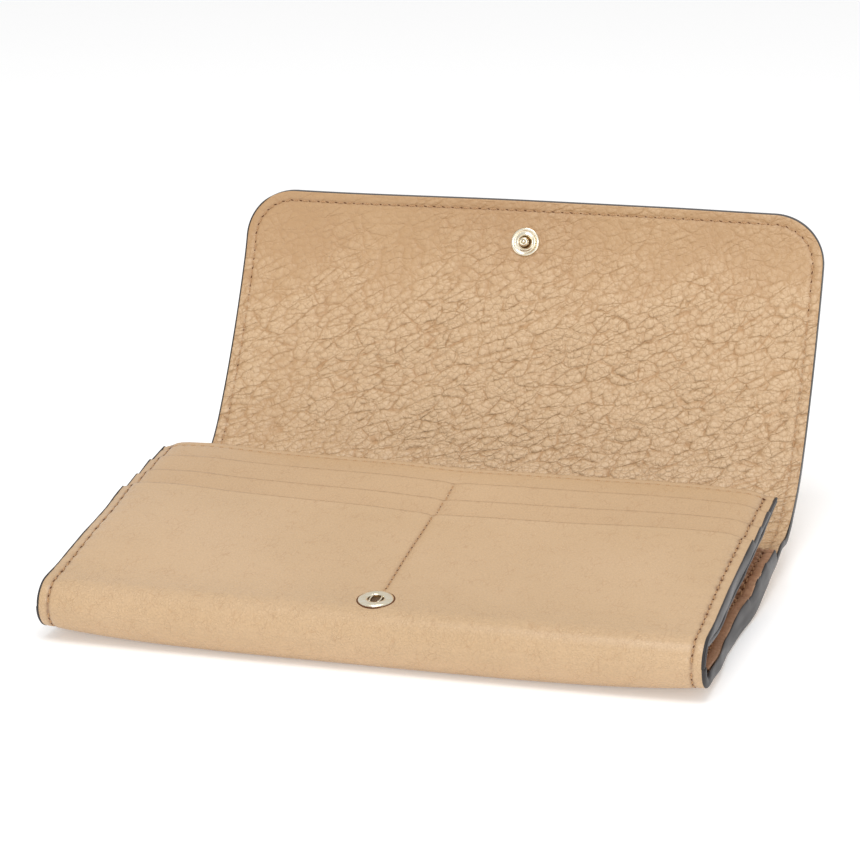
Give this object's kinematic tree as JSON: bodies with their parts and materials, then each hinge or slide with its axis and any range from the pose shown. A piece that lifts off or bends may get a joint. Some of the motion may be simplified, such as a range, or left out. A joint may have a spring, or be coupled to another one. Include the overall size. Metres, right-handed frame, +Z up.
{
  "type": "long wallet",
  "caption": "Long leather wallet lying open: a front panel with stepped card pockets folds over a back panel with a bill compartment, and a flap with a ring snap stands up behind.",
  "frame": {"origin": "middle of the footprint, on the surface the wallet lies on", "axes": "+X along the folds, +Y from the round front fold towards the standing flap, +Z up"},
  "size_m": [0.19, 0.1814, 0.0949],
  "materials": {
    "outer_leather": "soft semi-matt grain leather, light camel",
    "lining_leather": "pebbled grain leather, light camel",
    "board": "bonded leather board, hidden",
    "snap_metal": "polished pale gold plating",
    "thread": "twisted polyester sewing thread, tan",
    "edge_paint": "dark grey edge paint on the cut edges, satin"
  },
  "bodies": {
    "back_panel": {"back_outer_leather": "outer_leather", "back_lining": "lining_leather", "inner_card_backing": "lining_leather", "inner_card_strip_upper": "lining_leather", "inner_card_strip_middle": "lining_leather", "inner_face_leather": "lining_leather"},
    "fold": {"fold_outer_leather": "outer_leather", "fold_lining": "lining_leather"},
    "front_panel": {"front_face_leather": "outer_leather", "front_card_strip_middle": "outer_leather", "front_card_strip_upper": "outer_leather", "front_card_backing": "outer_leather", "front_lining": "lining_leather", "snap_socket": "snap_metal", "socket_spring": "snap_metal", "socket_eyelet": "snap_metal"},
    "spine": {"spine_outer_leather": "outer_leather", "spine_lining": "lining_leather"},
    "flap": {"flap_outer_leather": "outer_leather", "flap_board": "board", "flap_lining": "lining_leather", "snap_stud": "snap_metal", "stud_rivet": "snap_metal"}
  },
  "joints": [
    {"name": "fold_opens", "type": "hinge", "parent": "back_panel", "child": "fold", "pos_m": [0, -0.08815, 0.00256], "axis": [1, 0, 0], "range_deg": [-4, 90]},
    {"name": "front_panel_opens", "type": "hinge", "parent": "fold", "child": "front_panel", "pos_m": [0, -0.08815, 0.01494], "axis": [1, 0, 0], "range_deg": [-3.7, 82.1]},
    {"name": "spine_folds", "type": "hinge", "parent": "back_panel", "child": "spine", "pos_m": [0, 0.01384, 0.0024], "axis": [1, 0, 0], "range_deg": [-17, 67]},
    {"name": "flap_folds", "type": "hinge", "parent": "spine", "child": "flap", "pos_m": [0, 0.03624, 0.0099], "axis": [1, 0, 0], "range_deg": [-30, 50]}
  ],
  "couplings": [
    {"joint": "front_panel_opens", "follows": "fold_opens", "ratio": 0.911}
  ]
}
